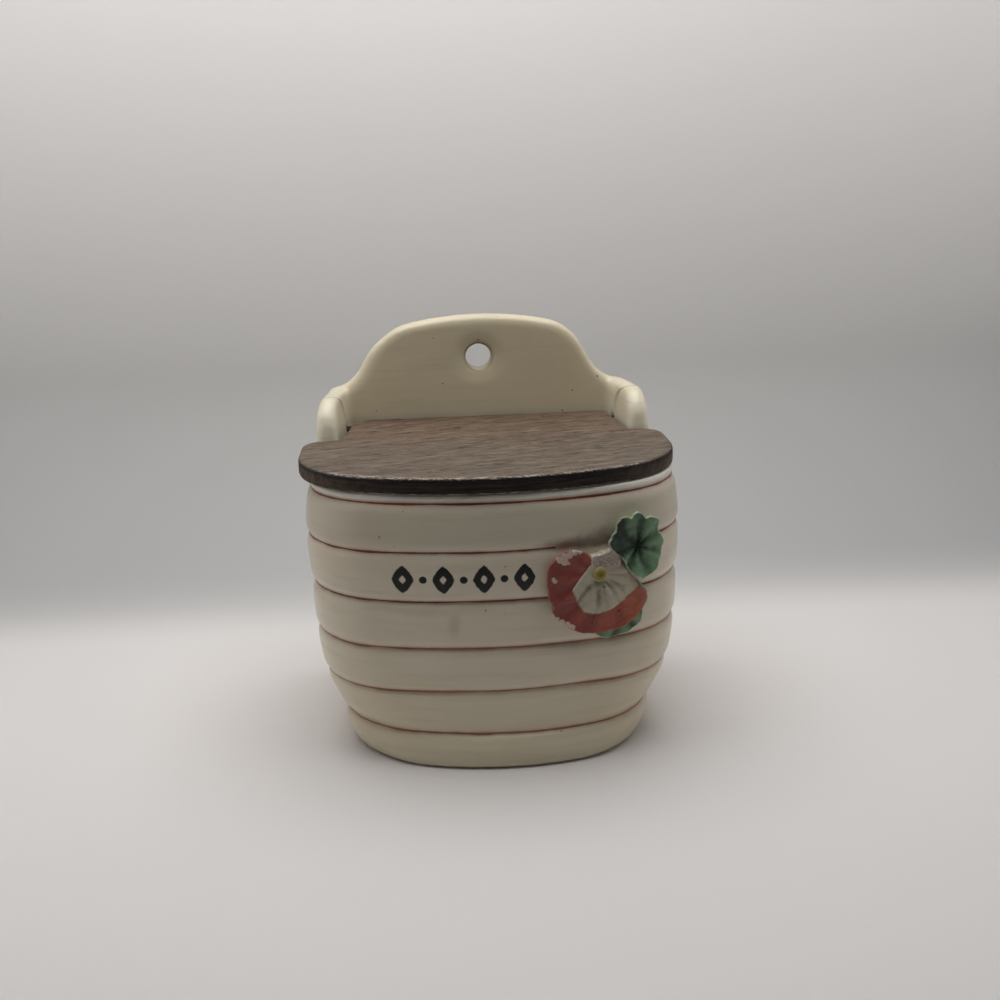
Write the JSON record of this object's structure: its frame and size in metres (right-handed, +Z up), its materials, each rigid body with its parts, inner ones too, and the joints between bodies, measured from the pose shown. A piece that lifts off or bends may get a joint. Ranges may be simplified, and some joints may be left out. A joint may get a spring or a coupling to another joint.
{
  "type": "salt box with hinged lid",
  "caption": "Wall-hung ceramic salt box with rounded bands, a hanging plate, a wooden lid hinged between two ears, and a clay flower on the front.",
  "frame": {"origin": "at table height, in the middle of the width and of the depth", "axes": "+Z up, +X to the right seen from the front, +Y towards the wall that the back lies against"},
  "size_m": [0.1265, 0.1035, 0.1364],
  "materials": {
    "glazed_ceramic": "gloss cream glaze",
    "lid_wood": "dark stained open-grained wood",
    "pin_brass": "dull",
    "leaf_glaze": "gloss green glaze",
    "petal_glaze": "gloss red glaze",
    "face_glaze": "gloss cream glaze with grey shading",
    "eye_glaze": "gloss yellow glaze",
    "bare_clay": "matt, bare fired clay"
  },
  "bodies": {
    "box": {"crock": "glazed_ceramic", "leaf_under": "leaf_glaze", "leaf_upper": "leaf_glaze", "petal_left": "petal_glaze", "petal_lower_left": "petal_glaze", "petal_lower_right": "petal_glaze", "petal_top": "bare_clay", "flower_face": "face_glaze", "flower_eye": "eye_glaze"},
    "lid": {"lid_board": "lid_wood", "hinge_pin_left": "pin_brass", "hinge_pin_right": "pin_brass"}
  },
  "joints": [
    {"name": "lid_hinge", "type": "hinge", "parent": "box", "child": "lid", "pos_m": [0, 0.0368, 0.09695], "axis": [-1, 0, 0], "range_deg": [0, 94]}
  ]
}
